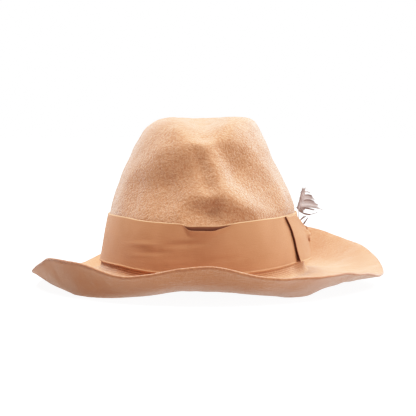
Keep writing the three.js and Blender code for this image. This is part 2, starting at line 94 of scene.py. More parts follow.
# Ribbons
RIBBON_WIDTH = 37.5
RIBBON_LAYER = 0.6
BAND_RISE = 10.0
BAND_GAP = 0.3
POCKET_DROP = 4.6
POCKET_OPENING = 1.8
POCKET_DEPTH = 5.0
POCKET_SHADE = (0.1, 0.8)
RIB_SPACING = 0.75
WOVEN_EDGE = 0.5
BOW_HALF_LENGTH = 51.0
BOW_WIDTH = 36.0
BOW_WAIST = 10.0
BOW_PUFF = 5.5
BOW_FOLD = 0.42
BOW_BELOW_TOP = 0.3
WAIST_PUFF = 0.2
WAIST_END = 0.06
WING_START = 0.70
LOWER_WING_START = 0.42
KNOT_WIDTH = 11.0
KNOT_LAYER = 1.0
KNOT_CORNER = 1.5
BOW_GAP = 0.3
CORD_HEIGHT = 0.35
CORD_SHARE = 0.032

# Feather
QUILL_WIDTH = 1.1
QUILL_LENGTH = 20.0
QUILL_SEAT = 6.0
QUILL_LEAN = 0.37
QUILL_SLANT = 0.06
QUILL_BEND = 2.3
QUILL_BEND_PLACE = 0.45
QUILL_PLACE = 8.0
QUILL_SHIFT = 1.3
QUILL_STEPS = 10
QUILL_FULLNESS = 0.9
QUILL_TIP_RADIUS = 0.12
QUILL_TONE = 0.45


def named_rows(names, *rows):
    """Table whose rows hold their values under the names of its columns."""
    return [dict(zip(names.split(), row)) for row in rows]


# Crown sections from the break to the top: height as a share of CROWN_HEIGHT, left and right as shares of
# CROWN_HALF_WIDTH, front and back as shares of CROWN_HALF_LENGTH
CROWN_SECTIONS = named_rows(
    "height left right front back",
    (0.00, 1.000, 1.000, 1.000, 1.000),
    (0.045, 0.992, 0.996, 0.998, 0.998),
    (0.15, 0.963, 0.977, 0.985, 0.985),
    (0.27, 0.933, 0.941, 0.968, 0.968),
    (0.37, 0.902, 0.907, 0.948, 0.952),
    (0.43, 0.880, 0.896, 0.932, 0.940),
    (0.51, 0.843, 0.855, 0.898, 0.922),
    (0.58, 0.806, 0.802, 0.862, 0.896),
    (0.66, 0.766, 0.742, 0.820, 0.862),
    (0.74, 0.707, 0.682, 0.772, 0.822),
    (0.82, 0.657, 0.634, 0.718, 0.774),
    (0.90, 0.587, 0.574, 0.648, 0.704),
    (0.94, 0.538, 0.545, 0.600, 0.648),
    (0.978, 0.452, 0.500, 0.525, 0.565),
    (0.998, 0.340, 0.410, 0.410, 0.440),
    (1.003, 0.200, 0.260, 0.270, 0.280),
    (1.003, 0.090, 0.110, 0.130, 0.130),
)

# Folds pressed into the crown: each follows a line of points, given as shares of the half width, the half
# length and the height, with the depth and the reach of the fold there as shares of its kind's sizes
FOLD_COLUMNS = "across along up depth reach"
CROWN_FOLDS = [
    {"kind": CREASE, "line": named_rows(
        FOLD_COLUMNS,
        (0.02, -0.60, 0.97, 0.50, 0.80),
        (0.00, -0.20, 1.00, 0.42, 0.85),
        (0.00, 0.20, 1.00, 0.20, 0.80),
    )},
    {"kind": PINCH, "line": named_rows(
        FOLD_COLUMNS,
        (-0.60, -0.62, 0.54, 0.60, 1.05),
        (-0.34, -0.76, 0.54, 1.00, 1.30),
        (-0.08, -0.84, 0.66, 0.60, 0.95),
    )},
    {"kind": PINCH, "line": named_rows(
        FOLD_COLUMNS,
        (-0.04, -0.78, 0.80, 0.14, 0.34),
        (0.02, -0.84, 0.68, 0.32, 0.40),
        (0.05, -0.88, 0.59, 0.30, 0.36),
    )},
    {"kind": PINCH, "line": named_rows(
        FOLD_COLUMNS,
        (-0.05, -0.93, 0.42, 0.48, 0.54),
        (0.07, -0.93, 0.41, 0.66, 0.52),
    )},
    {"kind": PINCH, "line": named_rows(
        FOLD_COLUMNS,
        (0.18, -0.74, 0.80, 0.42, 0.68),
        (0.37, -0.72, 0.67, 0.88, 1.02),
        (0.62, -0.62, 0.52, 0.52, 0.90),
    )},
    {"kind": PINCH, "line": named_rows(
        FOLD_COLUMNS,
        (0.02, -0.74, 0.86, -0.10, 0.40),
        (0.10, -0.82, 0.73, -0.30, 0.44),
        (0.22, -0.86, 0.56, -0.34, 0.54),
        (0.46, -0.84, 0.42, -0.30, 0.66),
    )},
]

# Brim sections in degrees from the wearer's left towards the back: reach as a share of BRIM_REACH, and the
# heights a third of the way out, two thirds of the way out and at the edge as shares of BRIM_LIFT
BRIM_SECTIONS = named_rows(
    "turn reach near far edge",
    (0, 1.15, 0.17, 0.16, 0.26),
    (12, 1.16, 0.18, 0.20, 0.45),
    (22, 1.13, 0.18, 0.25, 0.63),
    (35, 1.10, 0.09, 0.23, 0.76),
    (47, 1.07, -0.06, 0.24, 0.91),
    (61, 1.02, 0.10, 0.42, 1.00),
    (75, 0.97, 0.23, 0.53, 1.00),
    (90, 0.95, 0.24, 0.50, 0.95),
    (106, 0.97, 0.14, 0.32, 0.79),
    (118, 1.03, 0.05, 0.11, 0.53),
    (127, 1.07, 0.03, 0.03, 0.31),
    (136, 1.06, 0.00, -0.04, 0.14),
    (150, 1.02, 0.06, -0.04, 0.08),
    (165, 0.99, 0.12, 0.03, 0.11),
    (180, 0.97, 0.11, 0.04, 0.21),
    (195, 0.98, 0.08, 0.05, 0.36),
    (208, 0.98, 0.07, 0.05, 0.58),
    (215, 0.99, 0.06, 0.03, 0.70),
    (224, 0.98, 0.02, -0.05, 0.70),
    (233, 0.98, 0.03, 0.04, 0.66),
    (247, 0.98, 0.07, 0.14, 0.48),
    (255, 0.98, 0.13, 0.22, 0.54),
    (263, 0.98, 0.18, 0.30, 0.66),
    (274, 0.99, 0.18, 0.33, 0.69),
    (287, 0.98, 0.12, 0.19, 0.49),
    (300, 0.99, 0.04, 0.13, 0.44),
    (311, 0.99, -0.06, 0.13, 0.44),
    (322, 0.99, 0.08, 0.17, 0.42),
    (334, 1.03, 0.16, 0.19, 0.33),
    (347, 1.10, 0.17, 0.17, 0.24),
)

# Lower edge of the band: its rise above the break as a share of BAND_RISE
BAND_SECTIONS = named_rows(
    "turn rise",
    (0, 1.10),
    (45, 1.00),
    (90, 0.80),
    (135, 0.85),
    (180, 0.97),
    (218, 0.99),
    (232, 0.83),
    (246, 0.70),
    (270, 0.65),
    (293, 0.68),
    (312, 0.84),
    (332, 1.05),
)

# Upper edge of the band: its dip in millimetres below the ribbon's width
EDGE_SECTIONS = named_rows(
    "turn dip",
    (0, 0.0),
    (120, 0.0),
    (200, -0.2),
    (226, 0.0),
    (246, -0.6),
    (256, -0.4),
    (259, 0.0),
    (261.5, 1.0),
    (270, 0.9),
    (279, 0.9),
    (282, 0.5),
    (285, 0.0),
    (291, -1.0),
    (298, -1.4),
    (308, -1.3),
    (320, -0.5),
    (332, 0.0),
)

# The doubled top edge of the band: drop and opening of its outer layer, as shares
POCKET_SECTIONS = named_rows(
    "turn drop open",
    (253, 0.00, 0.00),
    (259, 0.03, 0.20),
    (261, 0.55, 0.60),
    (263, 0.92, 0.85),
    (270, 1.00, 1.00),
    (276, 1.00, 0.85),
    (280, 0.68, 0.60),
    (285, 0.30, 0.30),
    (290, 0.00, 0.00),
)

# Bow sections from its lower edge to its upper one: half length as a share of BOW_HALF_LENGTH, and puff of
# the front and back wings and lift of their ends as shares of BOW_PUFF
BOW_SECTIONS = named_rows(
    "level length front back lift",
    (-1.0, 0.88, 0.72, 0.50, 0.30),
    (-0.5, 0.89, 0.36, 0.35, 0.05),
    (0.0, 0.91, 0.30, 0.60, 0.04),
    (0.5, 0.96, 0.06, 0.80, 0.02),
    (1.0, 1.07, 0.02, 0.40, 0.02),
)

# Soft wrinkles in the band: middle in degrees and millimetres up, half size across and up, and height
BAND_WRINKLES = named_rows(
    "turn up across tall high",
    (236, 20, 9, 1.6, 0.55),
    (243, 15, 8, 1.4, -0.48),
    (232, 11, 7, 1.4, 0.25),
    (262, 23, 11, 2.0, -0.55),
    (268, 27, 9, 1.6, 0.42),
    (252, 8, 12, 2.0, 0.22),
    (285, 12, 10, 1.8, -0.20),
    (120, 18, 14, 1.8, 0.30),
    (70, 24, 12, 1.6, -0.30),
    (170, 13, 12, 1.8, 0.25),
)

# Rounded rim of the brim: rows as shares of the way from the underside to the upper face, and each row's
# share of the underside's painted shade
RIM_ROWS = named_rows("share tone", (0.12, 0.8), (0.35, 0.5), (0.65, 0.2), (0.88, 0.0))


def blended(first, last, slope_in, slope_out, share):
    """Smooth way from one value to the next, with the slopes at its two ends."""
    s2 = share * share
    s3 = s2 * share
    return (
        first * (2 * s3 - 3 * s2 + 1) + last * (3 * s2 - 2 * s3)
        + slope_in * (s3 - 2 * s2 + share) + slope_out * (s3 - s2)
    )


def column(table, key, name, at, period=0.0):
    """Smooth interpolation of one named column of a table, periodic or open."""
    places = np.array([float(row[key]) for row in table])
    values = np.array([float(row[name]) for row in table])
    at = np.asarray(at, dtype=float)
    if period:
        at = np.mod(at, period)
        low = np.clip(np.searchsorted(places, at, side="right") - 1, 0, len(places) - 1)
        places = np.concatenate([[places[-1] - period], places, places[:2] + period])
        values = np.concatenate([[values[-1]], values, values[:2]])
    else:
        low = np.clip(np.searchsorted(places, at, side="right") - 1, 0, len(places) - 2)
        places = np.concatenate([places[:1], places, places[-1:]])
        values = np.concatenate([values[:1], values, values[-1:]])
    p0, p1, p2, p3 = (places[low + k] for k in range(4))
    v0, v1, v2, v3 = (values[low + k] for k in range(4))
    span = p2 - p1
    share = np.clip((at - p1) / span, 0, 1)
    return blended(v1, v2, (v2 - v0) / (p2 - p0) * span, (v3 - v1) / (p3 - p1) * span, share)


def row_at(table, key, at, period=0.0):
    """Every column of a table but the key's, at a place between its rows."""
    return {name: column(table, key, name, at, period) for name in table[0] if name != key}


def smoothstep(value, low, high):
    share = np.clip((value - low) / (high - low), 0, 1)
    return share * share * (3 - 2 * share)


def oval(turn, left, right, front, back, height):
    c = np.cos(np.radians(turn))
    s = np.sin(np.radians(turn))
    x = c * np.where(c > 0, right, left)
    y = s * np.where(s > 0, back, front)
    x, y, z = np.broadcast_arrays(x, y, height)
    return np.stack([x, y, z], axis=-1)


def outward(turn):
    """Level direction square to the crown's oval."""
    x = np.cos(np.radians(turn)) / CROWN_HALF_WIDTH
    y = np.sin(np.radians(turn)) / CROWN_HALF_LENGTH
    size = np.hypot(x, y)
    return np.stack([x / size, y / size, np.zeros_like(size)], axis=-1)


def break_level(turn):
    return BREAK_HEIGHT + BREAK_WAVE * np.cos(2 * np.radians(turn))


INDEXED_SECTIONS = [{**section, "index": i} for i, section in enumerate(CROWN_SECTIONS)]


def crown_oval(turn, key, at, height):
    take = row_at(INDEXED_SECTIONS, key, at)
    return oval(
        turn, CROWN_HALF_WIDTH * take["left"], CROWN_HALF_WIDTH * take["right"],
        CROWN_HALF_LENGTH * take["front"], CROWN_HALF_LENGTH * take["back"], height,
    )


def block_point(turn, row):
    """Undented crown at a row of its table, whole or between rows."""
    rise = column(INDEXED_SECTIONS, "index", "height", row)
    level = break_level(turn) + (CROWN_HEIGHT + BREAK_HEIGHT - break_level(turn)) * rise
    return crown_oval(turn, "index", row, level)


def block_at_height(turn, height):
    """Undented crown at a height."""
    rise = (height - break_level(turn)) / (CROWN_HEIGHT + BREAK_HEIGHT - break_level(turn))
    return crown_oval(turn, "height", rise, height)


def band_level(turn):
    return BREAK_HEIGHT + BAND_RISE * column(BAND_SECTIONS, "turn", "rise", turn, FULL_TURN)


def fold_end(place):
    across, along = place["across"] * CROWN_HALF_WIDTH, place["along"] * CROWN_HALF_LENGTH
    return np.array([across, along, BREAK_HEIGHT + place["up"] * CROWN_HEIGHT])


def dented(points, turn):
    """Moves points of the undented crown into its folds; the band keeps the felt from bulging out."""
    moved = points.copy()
    above_band = points[..., 2] - band_level(turn) - RIBBON_WIDTH
    free = smoothstep(above_band, 0.0, RIDGE_FADE)
    for fold in CROWN_FOLDS:
        ends = [fold_end(place) for place in fold["line"]]
        weight = np.zeros(points.shape[:-1])
        for first, start, last, end in zip(fold["line"], ends, fold["line"][1:], ends[1:]):
            line = end - start
            share = np.clip(((points - start) @ line) / (line @ line), 0, 1)
            distance = np.linalg.norm(points - start - share[..., None] * line, axis=-1)
            depth = first["depth"] + share * (last["depth"] - first["depth"])
            reach = first["reach"] + share * (last["reach"] - first["reach"])
            near = 1 - np.clip(distance / (fold["kind"]["reach"] * reach), 0, 1)
            press = fold["kind"]["depth"] * depth * near * near * (3 - 2 * near)
            weight = np.where(np.abs(press) > np.abs(weight), press, weight)
        weight = np.where(weight < 0, weight * free, weight)
        way = np.array([0, 0, -1.0]) if fold["kind"] is CREASE else -outward(turn)
        moved = moved + weight[..., None] * way
    return moved


def fillet_point(turn, share):
    foot = block_point(turn, FILLET_ROW)
    radius = foot[..., 2] - break_level(turn)
    swing = np.radians(90 * share)
    foot = foot + (BREAK_FILLET * (1 - np.cos(swing)))[..., None] * outward(turn)
    foot[..., 2] -= radius * np.sin(swing)
    return foot


def settled(height):
    above = height - FELT_THICKNESS
    rising = FELT_THICKNESS + (above + SETTLE_BLEND)**2 / (4 * SETTLE_BLEND)
    return np.where(above > SETTLE_BLEND, height, np.where(above < -SETTLE_BLEND, FELT_THICKNESS, rising))


def brim_point(turn, share):
    """Upper face of the brim, at a share of its reach from the fillet to the edge."""
    point = fillet_point(turn, np.ones_like(turn * share))
    foot = point[..., 2]
    take = row_at(BRIM_SECTIONS, "turn", turn, FULL_TURN)
    near, far, edge = (FELT_THICKNESS + BRIM_LIFT * take[name] for name in ("near", "far", "edge"))
    run_on = edge + EDGE_RUN_ON * (edge - far)
    values = [np.broadcast_to(v, foot.shape) for v in (near, foot, near, far, edge, run_on)]
    place = np.broadcast_to(np.clip(np.floor(share * 3), 0, 2).astype(int), foot.shape)
    stack = np.stack(values)
    v0, v1, v2, v3 = (np.take_along_axis(stack, (place + k)[None], axis=0)[0] for k in range(4))
    height = blended(v1, v2, (v2 - v0) / 2, (v3 - v1) / 2, share * 3 - place)
    reach = BRIM_REACH * take["reach"] - BREAK_FILLET
    point = point + (reach * share)[..., None] * outward(turn)
    point[..., 2] = settled(height)
    return point


def grid_normals(grid):
    """Unit normals of a grid whose rows run round the hat and whose columns run inwards and up."""
    along = np.roll(grid, -1, axis=1) - np.roll(grid, 1, axis=1)
    above = np.gradient(grid, axis=0)
    normal = np.cross(along, above)
    return normal / np.maximum(np.linalg.norm(normal, axis=-1, keepdims=True), TINY)


def grid_faces(rows, columns, wrap_rows, wrap_columns):
    i = np.arange(rows if wrap_rows else rows - 1)
    j = np.arange(columns if wrap_columns else columns - 1)
    i, j = np.meshgrid(i, j, indexing="ij")
    below, above = i % rows, (i + 1) % rows
    left, right = j % columns, (j + 1) % columns
    corners = [(below, left), (below, right), (above, right), (above, left)]
    return np.stack([row * columns + place for row, place in corners], axis=-1).reshape(-1, 4)


def add_object(name, data):
    thing = bpy.data.objects.new(name, data)
    bpy.context.scene.collection.objects.link(thing)
    return thing


def make_mesh(name, points, faces, uvs=None, **marks):
    """Smooth mesh from points in the hat's own frame; uvs and the named marks are one value a point."""
    placed = (np.asarray(points).reshape(-1, 3) + [AXIS_X, AXIS_Y, 0.0]) * MM
    mesh = bpy.data.meshes.new(name)
    mesh.from_pydata(placed.tolist(), [], [list(map(int, face)) for face in faces])
    mesh.validate()
    corners = np.zeros(len(mesh.loops), dtype=np.int32)
    mesh.loops.foreach_get("vertex_index", corners)
    if uvs is not None:
        layer = mesh.uv_layers.new(name="place")
        layer.data.foreach_set("uv", np.asarray(uvs).reshape(-1, 2)[corners].ravel())
    for mark, values in marks.items():
        layer = mesh.attributes.new(mark, "FLOAT", "POINT")
        layer.data.foreach_set("value", np.asarray(values, dtype=np.float32).ravel())
    mesh.shade_smooth()
    mesh.set_sharp_from_angle(angle=math.radians(SHARP_ANGLE))
    return add_object(name, mesh)


def stand_for(thing, node, material):
    thing.data.materials.append(material)
    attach(thing, "root")
    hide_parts(node)
    return thing


# Materials
class Nodes:
    """New material, and a short way to add and link its shader nodes."""

    def __init__(self, name):
        self.material = bpy.data.materials.new(name)
        self.material.use_nodes = True
        self.tree = self.material.node_tree
        self.tree.nodes.clear()

    def add(self, kind, inputs=None, **settings):
        node = self.tree.nodes.new(kind)
        for key, value in settings.items():
            setattr(node, key, value)
        for key, value in (inputs or {}).items():
            if isinstance(value, bpy.types.NodeSocket):
                self.tree.links.new(value, node.inputs[key])
            else:
                node.inputs[key].default_value = value
        return node

    def noise(self, vector, scale, detail=2.0, roughness=0.5, distortion=0.0):
        inputs = {
            "Vector": vector, "Scale": scale, "Detail": detail,
            "Roughness": roughness, "Distortion": distortion,
        }
        return self.add("ShaderNodeTexNoise", inputs).outputs["Fac"]

    def ramp(self, value, stops):
        node = self.add("ShaderNodeValToRGB", {"Fac": value})
        elements = node.color_ramp.elements
        while len(elements) < len(stops):
            elements.new(0.5)
        for element, (place, colour) in zip(elements, stops):
            element.position = place
            element.color = (*colour, 1.0)
        return node.outputs["Color"]

    def mark(self, name):
        """One of the marks that the mesh carries."""
        return self.add("ShaderNodeAttribute", attribute_name=name).outputs["Fac"]

    def maths(self, operation, first, second=0.0):
        return self.add("ShaderNodeMath", {0: first, 1: second}, operation=operation).outputs["Value"]

    def times(self, first, second):
        return self.maths("MULTIPLY", first, second)

    def wave(self, value, length):
        return self.maths("SINE", self.times(value, 2 * math.pi / length))

    def distance(self, value, middle):
        return self.maths("ABSOLUTE", self.maths("SUBTRACT", value, middle))

    def mix(self, share, first, second):
        """Mix of two colours; the node's colour sockets are its inputs 6 and 7 and its output 2."""
        node = self.add("ShaderNodeMix", data_type="RGBA")
        for index, value in ((0, share), (6, first), (7, second)):
            if isinstance(value, bpy.types.NodeSocket):
                self.tree.links.new(value, node.inputs[index])
            else:
                node.inputs[index].default_value = value if index == 0 else (*value, 1.0)
        return node.outputs[2]

    def scaled(self, vector, scale):
        return self.add("ShaderNodeMapping", {"Vector": vector, "Scale": scale}).outputs["Vector"]

    def bump(self, height, distance, strength, normal=None):
        inputs = {"Height": height, "Distance": distance, "Strength": strength}
        if normal is not None:
            inputs["Normal"] = normal
        return self.add("ShaderNodeBump", inputs).outputs["Normal"]

    def finish(self, shader):
        self.add("ShaderNodeOutputMaterial", {"Surface": shader})
        return self.material

    def surface(self, inputs):
        return self.finish(self.add("ShaderNodeBsdfPrincipled", inputs).outputs["BSDF"])


def grey(level):
    return (level, level, level)


def felt_material():
    """Camel felt: nap, clouding, pale fibres, painted shade below, a darker rim, painted light on the
    blocking rings.
    """
    deep, plain = (0.28, 0.115, 0.050), (0.33, 0.145, 0.070)
    pale_tuft, dark_fibre = (0.52, 0.30, 0.180), (0.15, 0.055, 0.020)
    underside_painted_shade, rim_dark, painted_ring_light = (0.21, 0.062, 0.012), (0.22, 0.085, 0.045), (0.66, 0.36, 0.21)
    n = Nodes("camel_felt")
    place = n.add("ShaderNodeTexCoord").outputs["Object"]
    cloud = n.noise(place, scale=38.0, detail=3.0, roughness=0.55)
    clump = n.noise(place, scale=560.0, detail=3.0, roughness=0.60, distortion=0.6)
    fibre = n.noise(place, scale=1200.0, roughness=0.60, distortion=1.0)
    height = n.add("ShaderNodeSeparateXYZ", {"Vector": place}).outputs["Z"]
    nap = n.ramp(height, [(NAP_FADE[0] * MM, grey(0.50)), (NAP_FADE[1] * MM, grey(1.0))])
    base = n.ramp(cloud, [(0.30, deep), (0.70, plain)])
    tuft = n.ramp(clump, [(0.40, grey(0.0)), (0.60, grey(1.0))])
    spread = n.times(n.maths("SUBTRACT", tuft, 0.5), n.times(nap, 0.38))
    mottled = n.mix(n.maths("ADD", spread, 0.25), base, pale_tuft)
    napped = n.mix(n.times(fibre, 0.34), mottled, dark_fibre)
    # Painted shade: the underside, marked by tone, is mixed half towards a darker, deeper colour
    shaded = n.mix(n.times(n.mark("tone"), 0.50), napped, underside_painted_shade)
    # Darker round the brim's rim, patchy with the tufts
    rim_darkening = n.times(n.mark("rim"), n.maths("ADD", n.times(tuft, -0.6), 0.75))
    edged = n.mix(rim_darkening, shaded, rim_dark)
    # Painted light: beside the band's foot the felt is mixed towards a pale colour, in stripes that stand
    # for the lit and shaded sides of the blocking rings and lighten the shade there
    ring = n.mark("ring")
    inside = n.maths("LESS_THAN", n.distance(ring, RING_ROOM / 2), RING_ROOM / 2)
    ridge = n.times(n.wave(ring, RING_SPACING), 0.26)
    ring_light_share = n.times(inside, n.maths("ADD", ridge, 0.30))
    coarse = n.bump(n.times(clump, nap), distance=0.0013, strength=0.8)
    return n.surface({
        "Base Color": n.mix(ring_light_share, edged, painted_ring_light), "Roughness": 0.95, "Specular IOR Level": 0.15,
        "Sheen Weight": 0.48, "Sheen Roughness": 0.38, "Sheen Tint": (0.94, 0.92, 0.89, 1.0),
        "Normal": n.bump(fibre, distance=0.0006, strength=0.6, normal=coarse),
    })


def ribbon_material():
    """Matt woven ribbon: fine ribs, soft streaks, a paler woven edge that is partly painted highlight, and
    painted shadow.
    """
    deep, plain = (0.325, 0.146, 0.068), (0.385, 0.180, 0.090)
    pale_streak, dark_thread = (0.46, 0.230, 0.120), (0.20, 0.066, 0.022)
    pale_edge_highlight, shadow = (0.62, 0.36, 0.20), (0.075, 0.012, 0.001)
    n = Nodes("camel_ribbon")
    place = n.add("ShaderNodeTexCoord").outputs["UV"]
    parts = n.add("ShaderNodeSeparateXYZ", {"Vector": place})
    along, across = parts.outputs["X"], parts.outputs["Y"]
    streak = n.noise(n.scaled(place, (0.05, 1.4, 1.0)), scale=1.6, detail=4.0, roughness=0.6)
    cloud = n.noise(place, scale=0.045, detail=3.0, distortion=0.4)
    thread = n.noise(place, scale=2.6, roughness=0.6)
    base = n.ramp(cloud, [(0.30, deep), (0.72, plain)])
    streaked = n.mix(n.times(streak, 0.40), base, pale_streak)
    woven = n.mix(n.times(thread, 0.25), streaked, dark_thread)
    # The woven edge is partly its own paler weave and partly a painted highlight of the lit edge
    edge = n.maths("GREATER_THAN", n.distance(across, RIBBON_WIDTH / 2), RIBBON_WIDTH / 2 - WOVEN_EDGE)
    edged = n.mix(n.times(edge, 0.60), woven, pale_edge_highlight)
    ribbed = n.bump(n.wave(along, RIB_SPACING), distance=0.00008, strength=0.6)
    # Where the tone mark is below 1 the colour is mixed towards the painted shadow
    return n.surface({
        "Base Color": n.mix(n.mark("tone"), shadow, edged), "Roughness": 0.60, "Specular IOR Level": 0.15,
        "Sheen Weight": 0.04, "Sheen Roughness": 0.5, "Sheen Tint": (1.0, 0.95, 0.92, 1.0),
        "Normal": n.bump(streak, distance=0.00025, strength=0.5, normal=ribbed),
    })


def feather_material():
    """Grey-brown vane, paler in its middle and darker at the barbs' tips."""
    dark, plain, pale = (0.17, 0.112, 0.100), (0.36, 0.29, 0.28), (0.74, 0.69, 0.69)
    brown_speck = (0.24, 0.16, 0.13)
    n = Nodes("grey_feather")
    grain = n.noise(n.add("ShaderNodeTexCoord").outputs["Object"], scale=900.0)
    base = n.ramp(n.mark("tone"), [(0.0, dark), (0.35, plain), (1.0, pale)])
    return n.surface({
        "Base Color": n.mix(n.times(grain, 0.35), base, brown_speck),
        "Roughness": 0.6, "Specular IOR Level": 0.3,
        "Sheen Weight": 0.3, "Sheen Roughness": 0.4, "Sheen Tint": (1.0, 0.95, 0.92, 1.0),
        "Normal": n.bump(grain, distance=0.0001, strength=0.4),
    })


FELT = felt_material()
RIBBON = ribbon_material()
FEATHER = feather_material()


# Felt body
def turns(count):
    return np.arange(count) * FULL_TURN / count


def waves(points, length, seed):
    """Smooth unevenness of about one, from a few fixed waves."""
    rng = np.random.default_rng(seed)
    total = np.zeros(points.shape[:-1])
    for _ in range(WAVE_COUNT):
        way = rng.normal(size=3)
        way *= 2 * math.pi / (length * rng.uniform(*WAVE_STRETCH) * np.linalg.norm(way))
        total = total + np.sin(points @ way + rng.uniform(0, 2 * math.pi))
    return total / WAVE_SUM


def felt_upper(turn):
    """Rows of the upper face from the brim's edge to the crown's top, and the point that closes them."""
    brim = brim_point(turn[None], np.linspace(1, 0, BRIM_STEPS * detail)[:, None])
    fillet = fillet_point(turn[None], np.linspace(1, 0, FILLET_STEPS)[1:-1, None])
    rows = np.linspace(FILLET_ROW, len(CROWN_SECTIONS) - 1, CROWN_STEPS * detail)[:, None]
    crown = dented(block_point(turn[None], rows), turn[None])
    hub = crown[-1].mean(axis=0)
    caps = np.stack([hub + (crown[-1] - hub) * share for share in CAP_SHARES])
    return np.concatenate([brim, fillet, crown, caps]), hub


def roughened(upper, normals):
    """Upper face with the felt's slight unevenness."""
    height = upper[..., 2]
    uneven = sum(kind["high"] * waves(upper, kind["length"], kind["seed"]) for kind in UNEVEN_WAVES)
    above_floor = smoothstep(height, *FLOOR_FADE)
    reach = np.hypot(upper[..., 0] / CROWN_HALF_WIDTH, upper[..., 1] / CROWN_HALF_LENGTH)
    behind_band = smoothstep(height, *BAND_FOOT_FADE) * (1 - smoothstep(height, *BAND_TOP_FADE))
    free = 1 - behind_band * (reach < WALL_REACH)
    return upper + (uneven * above_floor * free)[..., None] * normals


def felt_marks(rows, turn, lower_count):
    """Marks of each point: its share of painted underside shade, whether it is rim, and its place in the
    painted-light rings.
    """
    upper_count = len(rows) - lower_count - len(RIM_ROWS)
    under = [*np.ones(lower_count), *(row["tone"] for row in RIM_ROWS), *np.zeros(upper_count)]
    rim = [*np.zeros(lower_count - 1), *np.ones(len(RIM_ROWS) + 2), *np.zeros(upper_count - 1)]
    wall = block_point(turn, FILLET_ROW)
    out = np.hypot(rows[..., 0], rows[..., 1]) - np.hypot(wall[:, 0], wall[:, 1])
    ring = band_level(turn) - rows[..., 2] + np.maximum(out, 0.0)
    ring[:lower_count + len(RIM_ROWS)] = NO_RING
    return {
        "tone": [*np.repeat(under, len(turn)), 0.0, 1.0],
        "rim": [*np.repeat(rim, len(turn)), 0.0, 0.0],
        "ring": [*ring.ravel(), NO_RING, NO_RING],
    }


def felt_body():
    turn = turns(FELT_COLUMNS * detail)
    upper, hub = felt_upper(turn)
    normals = grid_normals(upper)
    upper = roughened(upper, normals)
    lower = upper[::2] - FELT_THICKNESS * normals[::2]
    lower[..., 2] = np.maximum(lower[..., 2], 0.0)
    outwards = (upper[0] - upper[1]) / np.linalg.norm(upper[0] - upper[1], axis=-1, keepdims=True)
    rim = [
        lower[0] + (upper[0] - lower[0]) * share + outwards * RIM_BULGE * math.sin(math.pi * share)
        for share in (row["share"] for row in RIM_ROWS)
    ]
    rows = np.concatenate([lower[::-1], np.stack(rim), upper])
    points = [*rows.reshape(-1, 3).tolist(), hub.tolist(), (hub - [0, 0, FELT_THICKNESS]).tolist()]
    faces = grid_faces(len(rows), len(turn), False, True).tolist()
    top_row = (len(rows) - 1) * len(turn)
    for left in range(len(turn)):
        right = (left + 1) % len(turn)
        faces.append([len(points) - 2, top_row + left, top_row + right])
        faces.append([len(points) - 1, right, left])
    body = make_mesh("felt_hat_body", points, faces, **felt_marks(rows, turn, len(lower)))
    return stand_for(body, "felt_body", FELT)


# Ribbon band: its section runs up its back, down into the pocket's slit, up the back of the flap and down
# its face. Offs are in millimetres from the back or, for the flap's edge and the lower one, from the face.
BAND_COLUMNS = 240
FINER_TURNS = ((258.4, 263.4, 11), (275.5, 290.5, 15))
BACK_STEPS = 7
EDGE_ROUND = 0.15
INNER_EDGE = named_rows("down off", (0.0, 0.15), (0.05, 0.40))
# Tones of the pocket's wall paint its shadow: 0 takes the ribbon's painted shadow colour
POCKET_WALL = named_rows("share tone", (0.05, 0.30), (0.20, 0.12), (0.35, 0.02), (0.50, 0.0), (0.85, 0.0))
WALL_OFF = 0.50
SLIT_LIP = 0.5
SLIT_OFF = 0.62
FLAP_SHARES = (0.4, 0.8)
FLAP_LIP = 0.3
FLAP_OFF = 0.72
FLAP_EDGE = named_rows("down off", (0.05, -0.25), (0.0, -0.10), (0.12, 0.0))
LEAST_FLAP = 0.1
FACE_TOP_SHARES = (1.0, 0.985, 0.96, 0.92, 0.88)
FACE_CORD_SHARES = (0.036, 0.028, 0.020, 0.012, 0.004)
FACE_SHARES = (*FACE_TOP_SHARES, *np.linspace(0.84, 0.05, 22), *FACE_CORD_SHARES)
FACE_LIP = 0.4
FACE_HOLLOW = 0.05
LOWER_EDGE = named_rows("down off", (0.0, -0.10), (0.02, -0.50))
WRINKLE_SLANT = 1.2


def band_point(turn, height, off):
    return block_at_height(turn, height) + np.asarray(off)[..., None] * outward(turn)


def pocket(turn, name):
    inside = (turn > POCKET_SECTIONS[0]["turn"]) & (turn < POCKET_SECTIONS[-1]["turn"])
    return np.where(inside, np.maximum(0, column(POCKET_SECTIONS, "turn", name, turn)), 0.0)


def band_wrinkle(turn, up):
    total = np.zeros(np.broadcast(turn, up).shape)
    for spot in BAND_WRINKLES:
        across = (turn - spot["turn"]) / spot["across"]
        tall = (up - spot["up"] - WRINKLE_SLANT * across) / spot["tall"]
        total = total + spot["high"] * np.exp(-across * across - tall * tall)
    return total


